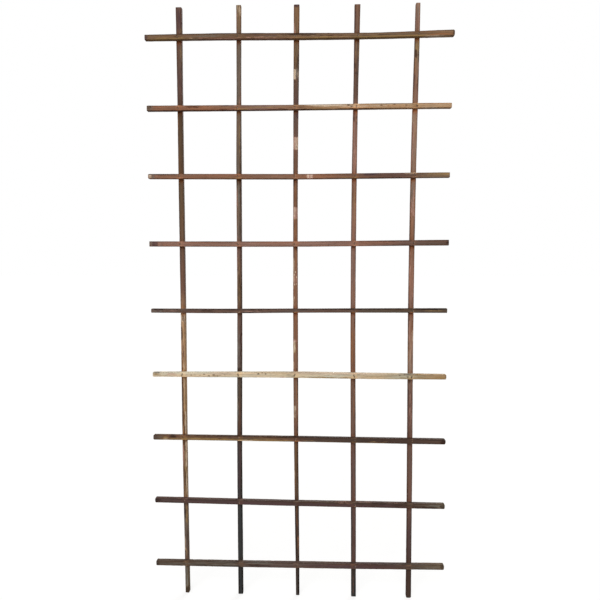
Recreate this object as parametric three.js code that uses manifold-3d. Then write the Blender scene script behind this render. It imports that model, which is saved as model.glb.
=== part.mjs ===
// Ladder trellis: five square uprights behind nine square rungs, with one wire staple at each crossing.
// Lengths are millimetres. The pieces are drawn in front elevation: x to the right, y up, z towards the
// viewer, and z = 0 where the rungs lie on the uprights. At the end the whole drawing is stood upright.
import * as THREE from 'three';
import { mergeVertices } from 'three/addons/utils/BufferGeometryUtils.js';
import Module from 'manifold-3d';

const wasm = await Module();
wasm.setup();

// Sticks: nominal 9/16 inch square, about 7 inches apart upright and 8 inches apart across
const stickSide = 14.3;
const easedEdge = 0.8;
const uprightPitch = 176.5;
const rungPitch = 203;
const footOverhang = 107;
const headOverhang = 95.5;
const leftOverhang = 96.5;
const rightOverhang = 107;

// Staples: narrow crown, driven through the rung and a little way into the upright
const crownWidth = 6.35;
const wireThickness = 1.05;
const wireWidth = 1.25;
const legBite = 8;
const legPoint = 1.6;
const crownBend = 0.9;
const crownRecess = 0.2;
const stapleClearance = 0.3;
const cutOverrun = 1;
const legLength = stickSide - crownRecess + legBite;

// Each stick has its own small bends and its own sawn width, because no two sticks of the real one match.
// Bows and widths are shares of the stick side, at even steps from foot to head or from left to right.
// A positive bow is to the right on an upright and upward on a rung. An end's share lengthens that end.
const uprightTable = [
  {
    bowShares: [0.05, -0.08, 0, -0.02, 0.03],
    widthShares: [0.84, 0.82, 0.9, 0.95, 0.98, 1, 1, 1, 1.18],
    headShare: -0.1,
    colour: 0x7b5a40,
  },
  {
    bowShares: [-0.22, -0.25, 0, 0.08, 0.28],
    widthShares: [0.98, 0.97, 0.96, 0.96, 0.95, 0.98, 1.02, 0.84, 0.94],
    headShare: 0.14,
    colour: 0x51453c,
  },
  {
    bowShares: [0.27, -0.06, -0.22, -0.2, 0.03],
    widthShares: [0.69, 0.82, 0.85, 0.97, 0.96, 0.91, 0.92, 1.06, 1.12],
    headShare: 0.05,
    colour: 0x785040,
  },
  {
    bowShares: [0.42, 0.14, -0.16, -0.1, 0.26],
    widthShares: [0.97, 1.01, 1.03, 1, 0.97, 0.99, 0.97, 0.93, 1.15],
    headShare: -0.1,
    colour: 0x75544a,
  },
  {
    bowShares: [0.28, 0.1, -0.14, -0.04, 0.36],
    widthShares: [1.04, 0.98, 1.03, 0.98, 1.03, 1, 0.99, 0.97, 0.82],
    headShare: 0,
    colour: 0x7a5a50,
  },
];
const rungTable = [
  {
    bowShares: [0.2, 0.23, 0.06, -0.02, 0.25],
    widthShares: [1, 1.11, 1.09, 0.96, 1.14],
    leftShare: 0.22,
    rightShare: 0.22,
    colour: 0x76604c,
  },
  {
    bowShares: [-0.05, -0.09, -0.12, -0.04, -0.05],
    widthShares: [1.04, 1, 0.92, 1, 0.97],
    leftShare: 0.05,
    rightShare: -0.08,
    colour: 0x8f6b4c,
  },
  {
    bowShares: [0.02, -0.06, -0.15, -0.06, 0.02],
    widthShares: [0.95, 1, 0.99, 1.01, 0.99],
    leftShare: 0.05,
    rightShare: -0.2,
    colour: 0x85604f,
  },
  {
    bowShares: [-0.05, -0.08, -0.08, 0.07, 0.2],
    widthShares: [1.06, 1.09, 1.08, 1.09, 1.14],
    leftShare: 0.05,
    rightShare: -0.12,
    colour: 0x7c5a4c,
  },
  {
    bowShares: [-0.22, -0.24, -0.1, 0, 0.05],
    widthShares: [0.8, 0.87, 0.8, 0.83, 0.9],
    leftShare: -0.05,
    rightShare: -0.18,
    colour: 0x5b4945,
  },
  {
    bowShares: [0.03, 0.1, 0.17, 0.05, 0],
    widthShares: [0.93, 1.06, 1.19, 1.18, 1.02],
    leftShare: -0.13,
    rightShare: -0.08,
    colour: 0xb7a184,
  },
  {
    bowShares: [0.22, 0.2, 0.18, 0.09, 0.02],
    widthShares: [0.97, 0.97, 1.01, 1.02, 1.05],
    leftShare: 0,
    rightShare: 0.05,
    colour: 0x5f4b3e,
  },
  {
    bowShares: [0.17, 0.04, -0.09, -0.12, -0.16],
    widthShares: [0.95, 0.97, 0.98, 1.03, 1.02],
    leftShare: -0.12,
    rightShare: 0.15,
    colour: 0x584642,
  },
  {
    bowShares: [-0.1, -0.08, 0, 0.09, 0.28],
    widthShares: [1, 1.05, 1.08, 1.05, 1.06],
    leftShare: -0.1,
    rightShare: 0.26,
    colour: 0x5a4b43,
  },
];

// How each staple sits: off the crossing's middle, in shares of the stick side, and off vertical, in
// shares of the steepest lean. Left of the middle on the first three uprights, right on the last two.
const asideShares = [-0.14, -0.16, -0.2, 0.16, 0.12];
const raiseShares = [0.02, -0.06, 0.08, -0.02, 0.05, -0.04, 0.07, 0, -0.05];
const leanShares = [0.7, -0.3, 1, 0.1, -0.6, 0.4, -0.9];
const steepestLean = THREE.MathUtils.degToRad(26);

const uprightCount = uprightTable.length;
const rungCount = rungTable.length;
const rungLength = leftOverhang + (uprightCount - 1) * uprightPitch + rightOverhang;
const uprightLength = footOverhang + (rungCount - 1) * rungPitch + headOverhang;
const stepsAlongStick = 16;
const gridLeft = -rungLength / 2;
const uprightPlace = (column) => gridLeft + leftOverhang + column * uprightPitch;
const rungPlace = (row) => footOverhang + (rungCount - 1 - row) * rungPitch;

// A smooth curve through evenly spaced shares, read at a place from 0 to 1 along the stick.
function readShares(shares, place) {
  const curve = new THREE.SplineCurve(shares.map((share, step) => new THREE.Vector2(step, share)));
  return curve.getPoint(place).y;
}

// Outline of a bent stick in the elevation: start and end are places along it from its own origin.
function stickShape(start, end, bowShares, widthShares, lengthwise) {
  const nearSide = [];
  const farSide = [];
  for (let step = 0; step <= stepsAlongStick; step += 1) {
    const place = step / stepsAlongStick;
    const along = THREE.MathUtils.lerp(start, end, place);
    const middle = stickSide * readShares(bowShares, place);
    const halfWidth = (stickSide * readShares(widthShares, place)) / 2;
    nearSide.push(lengthwise(along, middle - halfWidth));
    farSide.unshift(lengthwise(along, middle + halfWidth));
  }
  return new THREE.Shape([...nearSide, ...farSide]);
}

const upwards = (along, across) => new THREE.Vector2(across, along);
const rightwards = (along, across) => new THREE.Vector2(along, across);

// The stick's solid, with its back at the given z and all its outer edges eased.
function stickGeometry(shape, back) {
  const geometry = new THREE.ExtrudeGeometry(shape, {
    depth: stickSide - 2 * easedEdge,
    bevelThickness: easedEdge,
    bevelSize: easedEdge,
    bevelOffset: -easedEdge,
    bevelSegments: 1,
  });
  return geometry.translate(0, 0, back + easedEdge);
}

// One staple, crown along x with its outer face at y = 0, legs down, chisel points on the inner sides.
function stapleGeometry() {
  const outer = crownWidth / 2;
  const inner = outer - wireThickness;
  const shape = new THREE.Shape();
  shape.moveTo(-outer, -crownBend);
  shape.lineTo(-outer, legPoint - legLength);
  shape.lineTo(-inner, -legLength);
  shape.lineTo(-inner, -wireThickness);
  shape.lineTo(inner, -wireThickness);
  shape.lineTo(inner, -legLength);
  shape.lineTo(outer, legPoint - legLength);
  shape.lineTo(outer, -crownBend);
  shape.absarc(outer - crownBend, -crownBend, crownBend, 0, Math.PI / 2, false);
  shape.lineTo(crownBend - outer, 0);
  shape.absarc(crownBend - outer, -crownBend, crownBend, Math.PI / 2, Math.PI, false);
  const section = { depth: wireWidth, bevelEnabled: false, curveSegments: 2 };
  return new THREE.ExtrudeGeometry(shape, section).translate(0, 0, -wireWidth / 2);
}

// The room a staple takes in the wood: a slot under the crown, open to the front, and a hole for each leg.
function stapleRoomGeometry() {
  const outer = crownWidth / 2 + stapleClearance;
  const inner = crownWidth / 2 - wireThickness - stapleClearance;
  const bottom = -legLength - stapleClearance;
  const shape = new THREE.Shape();
  shape.moveTo(-outer, crownRecess + cutOverrun);
  shape.lineTo(-outer, bottom);
  shape.lineTo(-inner, bottom);
  shape.lineTo(-inner, -wireThickness);
  shape.lineTo(inner, -wireThickness);
  shape.lineTo(inner, bottom);
  shape.lineTo(outer, bottom);
  shape.lineTo(outer, crownRecess + cutOverrun);
  const thickness = wireWidth + 2 * stapleClearance;
  const section = { depth: thickness, bevelEnabled: false };
  return new THREE.ExtrudeGeometry(shape, section).translate(0, 0, -thickness / 2);
}

function toSolid(geometry) {
  const bare = geometry.clone();
  bare.deleteAttribute('normal');
  bare.deleteAttribute('uv');
  const joined = mergeVertices(bare);
  return new wasm.Manifold(new wasm.Mesh({
    numProp: 3,
    vertProperties: Float32Array.from(joined.attributes.position.array),
    triVerts: Uint32Array.from(joined.index.array),
  }));
}

function toGeometry(solid) {
  const mesh = solid.getMesh();
  const geometry = new THREE.BufferGeometry();
  geometry.setAttribute('position', new THREE.BufferAttribute(mesh.vertProperties, 3));
  geometry.setIndex(new THREE.BufferAttribute(mesh.triVerts, 1));
  const faceted = geometry.toNonIndexed();
  faceted.computeVertexNormals();
  return faceted;
}

const wood = (colour) => new THREE.MeshStandardMaterial({ color: colour, roughness: 0.8, metalness: 0 });
const wire = () => new THREE.MeshStandardMaterial({ color: 0x6e6a64, roughness: 0.45, metalness: 0.9 });

const trellis = new THREE.Group();
const stapleForm = stapleGeometry();
const stapleRoom = stapleRoomGeometry();

// A staple for each crossing, at the point where the two bent centre lines meet.
const staples = [];
for (let row = 0; row < rungCount; row += 1) {
  for (let column = 0; column < uprightCount; column += 1) {
    const height = rungPlace(row) / uprightLength;
    const reach = (uprightPlace(column) - gridLeft) / rungLength;
    const sideways = readShares(uprightTable[column].bowShares, height) + asideShares[column];
    const upward = readShares(rungTable[row].bowShares, reach) + raiseShares[row];
    const lean = leanShares[(row * uprightCount + column) % leanShares.length] * steepestLean;
    const staple = new THREE.Mesh(stapleForm, wire());
    staple.name = `staple_rung${row + 1}_upright${column + 1}`;
    staple.position.set(
      uprightPlace(column) + sideways * stickSide,
      rungPlace(row) + upward * stickSide,
      stickSide - crownRecess,
    );
    staple.rotation.set(Math.PI / 2, Math.PI / 2 + lean, 0);
    staple.updateMatrix();
    staples.push({ row, column, staple });
  }
}

// Takes the room of each given staple out of a stick that stands at its own place.
function stickMesh(name, geometry, colour, x, y, crossingStaples) {
  const rooms = crossingStaples.map(({ staple }) => {
    const room = stapleRoom.clone().applyMatrix4(staple.matrix);
    return toSolid(room.translate(-x, -y, 0));
  });
  const solid = toSolid(geometry).subtract(wasm.Manifold.union(rooms));
  const mesh = new THREE.Mesh(toGeometry(solid), wood(colour));
  mesh.name = name;
  mesh.position.set(x, y, 0);
  return mesh;
}

uprightTable.forEach((upright, column) => {
  const top = uprightLength + upright.headShare * stickSide;
  const shape = stickShape(0, top, upright.bowShares, upright.widthShares, upwards);
  const crossingStaples = staples.filter((crossing) => crossing.column === column);
  const geometry = stickGeometry(shape, -stickSide);
  const name = `upright_${column + 1}`;
  trellis.add(stickMesh(name, geometry, upright.colour, uprightPlace(column), 0, crossingStaples));
});

rungTable.forEach((rung, row) => {
  const left = gridLeft - rung.leftShare * stickSide;
  const right = gridLeft + rungLength + rung.rightShare * stickSide;
  const shape = stickShape(left, right, rung.bowShares, rung.widthShares, rightwards);
  const crossingStaples = staples.filter((crossing) => crossing.row === row);
  const geometry = stickGeometry(shape, 0);
  const name = `rung_${row + 1}`;
  trellis.add(stickMesh(name, geometry, rung.colour, 0, rungPlace(row), crossingStaples));
});

staples.forEach(({ staple }) => trellis.add(staple));

trellis.rotation.x = Math.PI / 2;

export default trellis;
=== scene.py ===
# %% [markdown]
# # A ladder trellis in sawn redwood
#
# The object is a garden trellis: five long square sticks stand side by side, nine shorter ones
# lie across their faces, and one wire staple holds each crossing. Nothing on it moves.
#
# The plain model already has every stick at its size and place. This lesson gives each stick the
# surface of rough sawn wood, makes each staple as a bent wire, and lights and frames the whole.

# %% Load the plain model
import math

import bpy
import numpy as np
from mathutils import Matrix, Vector
from mathutils.bvhtree import BVHTree


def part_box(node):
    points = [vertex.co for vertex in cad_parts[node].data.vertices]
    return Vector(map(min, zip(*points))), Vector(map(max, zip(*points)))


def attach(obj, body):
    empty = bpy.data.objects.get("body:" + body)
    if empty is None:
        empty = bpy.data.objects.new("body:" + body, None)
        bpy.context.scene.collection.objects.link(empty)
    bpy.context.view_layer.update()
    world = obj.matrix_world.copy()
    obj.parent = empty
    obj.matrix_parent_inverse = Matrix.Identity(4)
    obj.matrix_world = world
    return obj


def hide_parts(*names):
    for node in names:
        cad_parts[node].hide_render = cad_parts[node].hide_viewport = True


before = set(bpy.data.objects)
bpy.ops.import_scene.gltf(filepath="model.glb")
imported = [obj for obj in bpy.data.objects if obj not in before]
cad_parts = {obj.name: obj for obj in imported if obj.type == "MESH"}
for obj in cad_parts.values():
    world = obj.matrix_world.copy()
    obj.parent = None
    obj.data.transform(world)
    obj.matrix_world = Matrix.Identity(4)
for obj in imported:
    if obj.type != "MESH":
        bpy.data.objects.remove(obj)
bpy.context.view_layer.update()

mm = 0.001
scene = bpy.context.scene
uprights, rungs, staples = (
    sorted(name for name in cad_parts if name.startswith(kind))
    for kind in ("upright", "rung", "staple")
)
print(len(uprights), "uprights,", len(rungs), "rungs,", len(staples), "staples")

# %% [markdown]
# ## The camera
#
# A photograph of a flat, upright object gives its camera away: where the sticks show their left
# or right sides, and where the rungs stop showing their undersides and start to show their tops.
# Here that point is a little above the middle, so the camera stands at that height, looks a
# few degrees down, and is close enough for the grid to spread a little towards the top.
# A lens width and a distance that fit all fourteen sticks at once were worked out from that.

# %% Place the camera
lens = bpy.data.cameras.new("camera")
lens.sensor_width = 36
lens.lens = 33.6
lens.clip_end = 100
camera = bpy.data.objects.new("camera", lens)
scene.collection.objects.link(camera)
stands_at = (0.07195, -1.7173, 1.0803)
pan, tilt, roll = (math.radians(degrees) for degrees in (2.211, -4.347, -0.03))
look = Matrix.Rotation(pan, 4, "Z") @ Matrix.Rotation(tilt, 4, "X") @ Matrix.Rotation(roll, 4, "Y")
level_camera = Matrix.Rotation(math.radians(90), 4, "X")
camera.matrix_world = Matrix.Translation(stands_at) @ look @ level_camera
scene.camera = camera
print("camera is", round(-camera.matrix_world.translation.y, 2), "m in front of the trellis")

# %% [markdown]
# ## The light and the floor
#
# A catalogue photograph is lit by large soft lamps, so that thin sticks throw no hard shadow.
# Area lamps would light the nearer parts more. A sun lamp lights the whole height alike, and a
# wide angle softens its shadows as a big lamp does. One stands in front and above, another
# behind, and the sky fills in. Together they light the front faces at about the level where a
# colour comes out as it is written.
#
# The ground is white to the camera and pale to the light. Light Path tells the two apart, and
# the part of the ground that is real still takes the shadow of the feet.

# %% Hang the lamps
def add_lamp(name, strength, spread, height, turn):
    """A soft sun lamp that shines down from this height and turn, in degrees."""
    data = bpy.data.lights.new(name, "SUN")
    data.energy = strength
    data.angle = math.radians(spread)
    lamp = bpy.data.objects.new(name, data)
    scene.collection.objects.link(lamp)
    lamp.rotation_euler = (math.radians(90 - height), 0, math.radians(turn))


add_lamp("front_lamp", strength=2.2, spread=44, height=28, turn=-12)
add_lamp("back_lamp", strength=2.3, spread=40, height=20, turn=160)
scene.view_settings.view_transform = "Standard"

# %% Make node trees easy to write
def add_node(tree, kind, **settings):
    """Adds a node of this kind and sets its properties."""
    made = tree.nodes.new(kind)
    for name, value in settings.items():
        setattr(made, name, value)
    return made


def feed(tree, node, **inputs):
    """Sets or links inputs. In a name _ stands for a space, and i0 is the first input."""
    for name, value in inputs.items():
        key = name.replace("_", " ")
        socket = node.inputs[int(key[1:])] if key[0] == "i" and key[1:].isdigit() else node.inputs[key]
        if isinstance(value, bpy.types.NodeSocket):
            tree.links.new(value, socket)
        else:
            socket.default_value = value


def math_node(tree, how, first, second, clamp=False):
    """One step of arithmetic, and its result."""
    made = add_node(tree, "ShaderNodeMath", operation=how, use_clamp=clamp)
    feed(tree, made, i0=first, i1=second)
    return made.outputs[0]


def plus(tree, first, *others):
    """Values added one after another."""
    for other in others:
        first = math_node(tree, "ADD", first, other)
    return first


def less(tree, first, second):
    """One value taken from another."""
    return math_node(tree, "SUBTRACT", first, second)


def times(tree, first, second):
    """Two values multiplied."""
    return math_node(tree, "MULTIPLY", first, second)


# %% White behind, pale below
def seen_or_lit(tree, lit, seen):
    """One shader for light's own way, and another that camera, gloss and clear glass see."""
    path = add_node(tree, "ShaderNodeLightPath").outputs
    shine = math_node(tree, "MAXIMUM", path["Is Glossy Ray"], path["Is Transmission Ray"])
    plainly = math_node(tree, "MAXIMUM", path["Is Camera Ray"], shine)
    either = add_node(tree, "ShaderNodeMixShader")
    feed(tree, either, i0=plainly, i1=lit.outputs[0], i2=seen.outputs[0])
    return either.outputs[0]


sky = bpy.data.worlds.new("studio")
sky.use_nodes = True
tree = sky.node_tree
soft_sky = tree.nodes["Background"]
feed(tree, soft_sky, Color=(1, 1, 1, 1), Strength=0.44)
white = add_node(tree, "ShaderNodeBackground")
feed(tree, white, Color=(1, 1, 1, 1), Strength=1.0)
feed(tree, tree.nodes["World Output"], Surface=seen_or_lit(tree, soft_sky, white))
scene.world = sky

# %% Lay the floor
floor_size = 30
corners = [(x * floor_size, y * floor_size, 0) for x, y in ((-1, -1), (1, -1), (1, 1), (-1, 1))]
sheet = bpy.data.meshes.new("floor")
sheet.from_pydata(corners, [], [(0, 1, 2, 3)])
floor = bpy.data.objects.new("floor", sheet)
scene.collection.objects.link(floor)

paint = bpy.data.materials.new("floor_white")
paint.use_nodes = True
tree = paint.node_tree
tree.nodes.clear()
matt = add_node(tree, "ShaderNodeBsdfDiffuse")
feed(tree, matt, Color=(0.24, 0.238, 0.232, 1))
glow = add_node(tree, "ShaderNodeEmission")
feed(tree, glow, Color=(1, 1, 1, 1), Strength=0.78)
lifted = add_node(tree, "ShaderNodeAddShader")
feed(tree, lifted, i0=matt.outputs[0], i1=glow.outputs[0])
feed(tree, add_node(tree, "ShaderNodeOutputMaterial"), Surface=seen_or_lit(tree, matt, lifted))
sheet.materials.append(paint)
print("floor is", 2 * floor_size, "m wide, so its edge lies beyond the horizon's white")

# %% [markdown]
# ## Read each stick from the plain model
#
# A stick of the trellis bends a little and is sawn a little wider in one place than another. The
# plain model has that already, so it is read rather than guessed again. A ray is sent in
# from each side at many places along the stick, and the two hits give its middle and width.
#
# Every stick then has three directions of its own: along it from the left end or the head,
# across it in the plane of the trellis, and out towards the viewer. Everything below is
# written once in those three, for rungs and uprights alike.

# %% Send rays into a stick
stick_low, stick_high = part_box(rungs[0])
half_depth = (stick_high.y - stick_low.y) / 2


def read_stick(name, readings=60):
    """A stick's length, its way in the frame, and its middle and half width along it."""
    low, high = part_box(name)
    rung = name in rungs
    long_way, cross_way = (0, 2) if rung else (2, 0)
    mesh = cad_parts[name].data
    solid = BVHTree.FromPolygons(
        [v.co for v in mesh.vertices], [tuple(p.vertices) for p in mesh.polygons]
    )
    length = high[long_way] - low[long_way]
    inset = 1 * mm
    along = np.linspace(inset, length - inset, readings)
    sides = []
    for distance in along:
        hits = []
        for side in (-1, 1):
            start, heading = Vector(), Vector()
            start[long_way] = low[0] + distance if rung else high[2] - distance
            start.y = (low.y + high.y) / 2
            start[cross_way] = (high if side > 0 else low)[cross_way] + side * mm
            heading[cross_way] = -side
            hits.append(solid.ray_cast(start, heading)[0][cross_way])
        sides.append(hits)
    sides = np.array(sides)
    return {
        "length": length,
        "start": low.x if rung else high.z,
        "depth": (low.y + high.y) / 2,
        "along": along,
        "middle": sides.mean(1),
        "half": (sides[:, 1] - sides[:, 0]) / 2,
    }


sticks = {name: read_stick(name) for name in uprights + rungs}
for name in ("upright_1", "rung_1"):
    read = sticks[name]
    print(name, "length", round(read["length"] / mm), "mm, width",
          round(2 * read["half"].min() / mm, 1), "to", round(2 * read["half"].max() / mm, 1), "mm")

# %% Count the crossings
def crossing_places(name):
    """How far along a stick its ends and crossings are: 0, each crossing, and its length."""
    read = sticks[name]
    others, way = (uprights, 0) if name in rungs else (rungs, 2)
    places = [0.0]
    for other in others:
        low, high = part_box(other)
        places.append(abs((low[way] + high[way]) / 2 - read["start"]))
    return np.array([*places, read["length"]])


def crossings_at(name, along):
    """Distance along a stick as a count of crossings, so that 2.5 lies midway between two."""
    places = crossing_places(name)
    return np.interp(along, places, np.arange(len(places)))


print("rung_1 crosses at", (crossing_places("rung_1")[1:-1] / mm).round(), "mm")

# %% [markdown]
# ## Where the staples lie
#
# A staple gun drives a narrow staple through the rung into the upright. Its crown ends up just
# under the surface, in a small dent of crushed fibres. The dent belongs to the rung's shape, so
# the two ends of every crown are found before any wood is made.

# %% Find the crown of each staple
def crown_ends(name):
    """The two ends of a staple's crown and its front, from the corners nearest the viewer."""
    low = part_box(name)[0]
    crown_depth = 0.6 * mm
    near = np.array(
        [tuple(v.co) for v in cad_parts[name].data.vertices if v.co.y < low.y + crown_depth]
    )
    middle = near.mean(0)
    flat = (near - middle)[:, [0, 2]]
    way = np.linalg.eigh(np.cov(flat.T))[1][:, 1]
    reach = flat @ way
    centre = middle[[0, 2]]
    return centre + way * reach.min(), centre + way * reach.max(), low.y


def crowns_on(name):
    """Where each crown on a rung starts, along it and up, and how it runs from there."""
    found = []
    for staple in staples:
        if staple.startswith(f"staple_{name.replace('_', '')}_"):
            first, last, _ = crowns[staple]
            found.append((np.array([first[0] - sticks[name]["start"], first[1]]), last - first))
    return found


def from_crown(start, way, along, across):
    """How far points are from a crown, in metres, and to its right, in millimetres."""
    spot = np.stack([np.broadcast_to(along[:, None], across.shape), across], -1) - start
    share = np.clip(spot @ way / (way @ way), 0, 1)
    beside = spot - share[..., None] * way
    return np.linalg.norm(beside, axis=-1), beside[..., 0] / mm


crowns = {name: crown_ends(name) for name in staples}

# %% [markdown]
# ## Smooth chance
#
# Sawn wood is uneven at every size, but never like static. A smooth random field is made from
# random numbers on a coarse grid with soft steps between them. Laying a long, narrow grid over
# the stick gives ridges that follow the grain. The seed is fixed, so every run is the same.

# %% Smooth random fields
def soft_step(x):
    """0 below 0, 1 above 1, and a gentle S between."""
    x = np.clip(x, 0, 1)
    return x * x * (3 - 2 * x)


def hump(away, width):
    """1 where away is nought, falling off smoothly over a width on both sides."""
    return np.exp(-((away / width) ** 2))


def chance(seed, along, spacing, columns=1, around=None):
    """Smooth random numbers from -1 to 1 along a stick, and round it if around is given."""
    rows = int(along.max() / spacing) + 3
    grid = np.random.default_rng(seed).uniform(-1, 1, (rows, columns))
    row = (along / spacing).astype(int)
    mix = soft_step(along / spacing - row)[:, None]
    lines = grid[row] * (1 - mix) + grid[row + 1] * mix
    if around is None:
        return lines[:, 0]
    column = np.floor(around * columns).astype(int)
    mix = soft_step(around * columns - column)
    return lines[:, column % columns] * (1 - mix) + lines[:, (column + 1) % columns] * mix


wave = chance(1, np.linspace(0, 1, 200), 0.1)
print("a field runs from", wave.min().round(2), "to", wave.max().round(2))

# %% [markdown]
# ## The section of a sawn stick
#
# Across the grain the stick is a square with eased corners. It could be a box with a bevel, but
# then every corner would be worn alike. Here the outline is drawn at each station, with a corner
# radius of its own, so that a corner can be crisp in one place and split off in another.

# %% Draw the outline at every station
side_steps, corner_steps = 14, 4
eased = 0.8 * mm


def outline(half_across, radius):
    """Points (station, round) across and out, for a half width and four corner radii."""
    signs = [(1, 1), (-1, 1), (-1, -1), (1, -1)]
    turns = np.linspace(0, math.pi / 2, corner_steps + 1)
    arcs = []
    for corner, (side, face) in enumerate(signs):
        r = radius[:, corner, None]
        angle = turns[None] + corner * math.pi / 2
        across = side * (half_across[:, None] - r) + r * np.cos(angle)
        out = face * (half_depth - r) + r * np.sin(angle)
        arcs.append((across, out))
    shares = np.arange(1, side_steps)[None] / side_steps
    across, out = [], []
    for corner in range(4):
        here, there = arcs[corner], arcs[(corner + 1) % 4]
        for rows, part in ((across, 0), (out, 1)):
            rows.append(here[part])
            rows.append(here[part][:, -1:] * (1 - shares) + there[part][:, :1] * shares)
    return np.hstack(across), np.hstack(out)


# %% Measure the way round
plain = outline(np.array([half_depth]), np.full((1, 4), eased))
round_points = plain[0].shape[1]
steps = np.hypot(*(np.roll(p[0], -1) - p[0] for p in plain))
girth = steps.sum()
around = np.concatenate([[0], np.cumsum(steps)[:-1]]) / girth
quarter = np.repeat(np.arange(4), corner_steps + side_steps)
step_in_quarter = np.tile(np.arange(corner_steps + side_steps), 4)
facing = np.radians(90.0 * (quarter + np.minimum(step_in_quarter / corner_steps, 1)))
edge_reach = 3.4 * mm
from_edge = half_depth - np.minimum(*(np.abs(p[0]) for p in plain))
edge_nearness = np.clip(1 - from_edge / edge_reach, 0, 1)
print(round_points, "points round a stick,", round(girth / mm, 1), "mm of them")

# %% [markdown]
# ## What the saw and the weather leave
#
# Three things shape a rough stick: ridges of hard grain along it, faint ripples across it from
# the feed of the saw, and splits where a corner tore away. A knot stands up in the middle of its
# own small crater. A split bites about a millimetre into its corner. The faces by which rungs
# and uprights touch only ever go inwards, so the sticks still lie flat together. The others
# stand about a third of a millimetre proud of the plain ones, and ridges and ripples add up to
# as much again.

# %% Corners that wear and tear
between_splits = 130 * mm


def corner_radii(seed, along):
    """Four corner radii at each station, with a few splits in each corner."""
    dice = np.random.default_rng(seed)
    radii = np.zeros((len(along), 4))
    nearest_end = np.minimum(along, along.max() - along)
    for corner in range(4):
        radii[:, corner] = eased * (1 + 0.4 * chance((seed, corner), along, 9 * mm))
        for _ in range(int(along.max() / between_splits)):
            place, length = dice.uniform(0, along.max()), dice.uniform(5, 26) * mm
            bite = dice.uniform(0.3, 1.2) * mm * dice.choice((0.6, 1))
            share = (along - place) / length
            # A split starts with a step and runs out slowly along the grain.
            radii[:, corner] += bite * soft_step(share * 8) * soft_step(1 - share) * (share > 0)
        radii[:, corner] += 0.7 * mm * (1 - soft_step(nearest_end / (3 * mm)))
    return radii


# %% Ridges and ripples
# Each layer's height and length in millimetres, and how many ridges it has round a stick.
ridges = ((0.10, 46, 5), (0.075, 34, 26), (0.035, 11, 46), (0.03, 3.2, 60))
ripple_length, ripple_height = 6.4 * mm, 0.03 * mm
proud, sunk = 0.35 * mm, 0.02 * mm


def roughness_of(seed, along, name):
    """How far each point stands out of the plain face, in metres."""
    rough = 0
    for layer, (height, length, columns) in enumerate(ridges, 11):
        rough = rough + height * mm * chance((seed, layer), along, length * mm, columns, around)
    uneven_feed = 0.4 * chance((seed, 15), along, 30 * mm)
    ripple = np.sin(2 * math.pi * (along / ripple_length + uneven_feed))
    height = ripple_height * (1 + chance((seed, 16), along, 60 * mm))
    rough += (ripple * height)[:, None] * (0.6 + 0.4 * np.cos(facing * 2))[None]
    # Corners are frayed more finely than faces.
    rough += 0.03 * mm * chance((seed, 17), along, 5 * mm, 60, around) * edge_nearness[None]
    # The back of a rung and the front of an upright touch, so they stay flat and a hair inside.
    touches = np.sin(facing) < -0.7 if name in rungs else np.sin(facing) > 0.7
    return np.where(touches[None], np.minimum(rough, 0) - sunk, rough + proud)


# %% [markdown]
# ## Marks placed one by one
#
# Every stick in the photograph has its own knots, stains and scraped patches. They are placed
# one by one, by crossing count along the stick and by a share of its half width across it, from
# -1 at the lower or left side to 1 at the upper or right. Each mark is a soft weight on the
# points of the mesh, and the finish later breaks its outline up along the grain. A few patches,
# scraped, whitewashed or soaked, end crisply.
#
# The marks are written as a list that Python reads: a stick's name, then for each stain the
# numbers of its marks, with commas between marks. The numbers are the counts where a mark starts
# and ends, its lowest and highest share, and its strength. A sixth number makes a mark lean: how
# far it shifts across the stick from one crossing to the next.

# %% Read a list of marks
stain_names = ("dark", "pale", "iron", "gold", "red", "grey", "pink", "plum", "amber")
# The mesh carries them by threes, in layers of these names.
stain_layers = ("stains", "tints", "blushes")


def read_marks(written):
    """The marks of each stick in the list, each as its stain and its numbers."""
    found = {}
    for line in written.splitlines():
        if line in sticks:
            laid = found[line] = []
        elif line:
            stain, numbers = line.split(maxsplit=1)
            laid += [(stain, *map(float, mark.split())) for mark in numbers.split(",")]
    return found
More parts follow.
